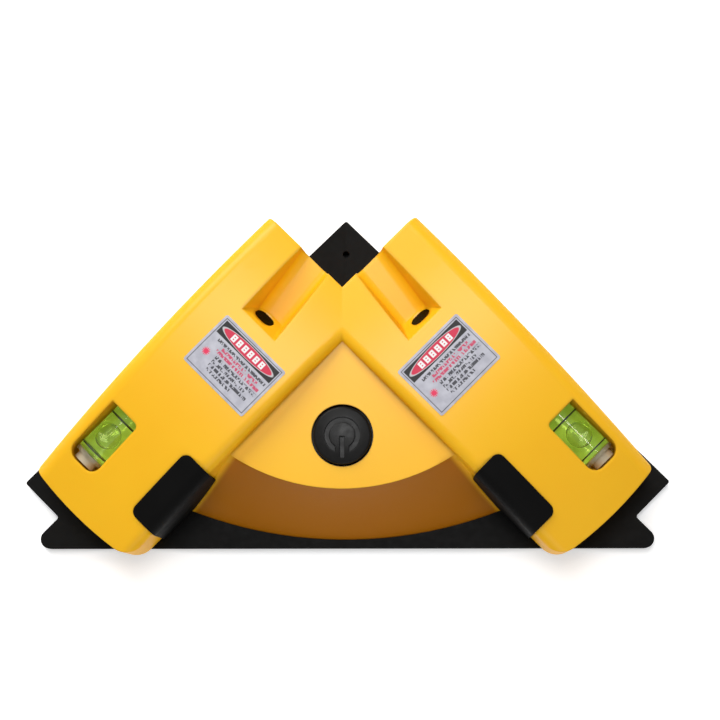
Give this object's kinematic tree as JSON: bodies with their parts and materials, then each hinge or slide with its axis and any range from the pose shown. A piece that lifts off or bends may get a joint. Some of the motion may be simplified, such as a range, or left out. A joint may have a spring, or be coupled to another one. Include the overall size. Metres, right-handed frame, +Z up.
{
  "type": "right-angle laser level",
  "caption": "Handheld right-angle laser level: a two-armed shell on a flat base, with a laser line along each arm, bubble vials and a press button.",
  "frame": {"origin": "centre of the bounding box in plan, at the underside of the base plate", "axes": "+X runs across the two wing tips, +Y points from the straight front edge to the corner with the pin hole, +Z points up from the base"},
  "size_m": [0.2044, 0.1072, 0.0396],
  "materials": {
    "shell_yellow": "smooth satin yellow ABS with fine moulded grain",
    "base_black": "moulded black, light texture",
    "door_black": "moulded black with finger ribs",
    "rubber_black": "soft matt black",
    "button_black": "dark grey, recessed symbol",
    "switch_plastic": "moulded",
    "plunger_white": "moulded",
    "spring_steel": "bright wire",
    "screw_steel": "zinc plated",
    "board_green": "solder mask",
    "chip_black": "moulded",
    "can_aluminium": "drawn can",
    "cell_wrap": "plain dark wrap, no lettering",
    "contact_nickel": "nickel plated",
    "barrel_brass": "turned",
    "lens_clear": "polished",
    "clamp_plastic": "moulded",
    "vial_clear": "clear acrylic",
    "vial_green": "green spirit liquid",
    "bubble_clear": "air bubble",
    "plug_tan": "end plugs",
    "ring_black": "printed ring marks",
    "cradle_pale": "pale yellow green",
    "window_smoke": "dark smoked window, polished",
    "label_film": null,
    "lead_red": "insulated wire"
  },
  "bodies": {
    "housing": {"antislip_discs": "rubber_black", "aperture_window_left": "window_smoke", "aperture_window_right": "window_smoke", "base_plate": "base_black", "board_resistors": "chip_black", "board_screws": "screw_steel", "cell_front": "cell_wrap", "cell_rear": "cell_wrap", "circuit_board": "board_green", "clamp_screws": "screw_steel", "contact_plates": "contact_nickel", "control_chip": "chip_black", "driver_board_left": "board_green", "driver_board_right": "board_green", "edge_pad_left": "rubber_black", "edge_pad_right": "rubber_black", "filter_capacitor": "can_aluminium", "housing_screws": "screw_steel", "laser_barrel_left": "barrel_brass", "laser_barrel_right": "barrel_brass", "laser_clamp_left": "clamp_plastic", "laser_clamp_right": "clamp_plastic", "laser_diode_left": "can_aluminium", "laser_diode_right": "can_aluminium", "laser_leads_left": "lead_red", "laser_leads_right": "lead_red", "line_lens_left": "lens_clear", "line_lens_right": "lens_clear", "spring_contacts": "contact_nickel", "switch_body": "switch_plastic", "switch_spring": "spring_steel", "upper_shell": "shell_yellow", "vial_cradle_left": "cradle_pale", "vial_cradle_right": "cradle_pale", "vial_liquid_left": "vial_green", "vial_liquid_right": "vial_green", "vial_plugs_left": "plug_tan", "vial_plugs_right": "plug_tan", "vial_rings_left": "ring_black", "vial_rings_right": "ring_black", "vial_tube_left": "vial_clear", "vial_tube_right": "vial_clear", "warning_label_left": "label_film", "warning_label_right": "label_film"},
    "button": {"power_button": "button_black", "switch_plunger": "plunger_white"},
    "door": {"battery_door": "door_black"},
    "bubble_left": {"vial_bubble_left": "bubble_clear"},
    "bubble_right": {"vial_bubble_right": "bubble_clear"}
  },
  "joints": [
    {"name": "button_press", "type": "slide", "parent": "housing", "child": "button", "axis": [0, 0, -1], "range_m": [0, 0.002], "stiffness_N_per_m": 600, "springref_m": -0.0006, "deforming": ["switch_spring"]},
    {"name": "door_slide", "type": "slide", "parent": "housing", "child": "door", "axis": [0, -1, 0], "range_m": [0, 0.058]},
    {"name": "bubble_right_slide", "type": "slide", "parent": "housing", "child": "bubble_right", "axis": [0.7071, -0.7071, 0], "range_m": [-0.003, 0.003]},
    {"name": "bubble_left_slide", "type": "slide", "parent": "housing", "child": "bubble_left", "axis": [-0.7071, -0.7071, 0], "range_m": [-0.003, 0.003]}
  ]
}
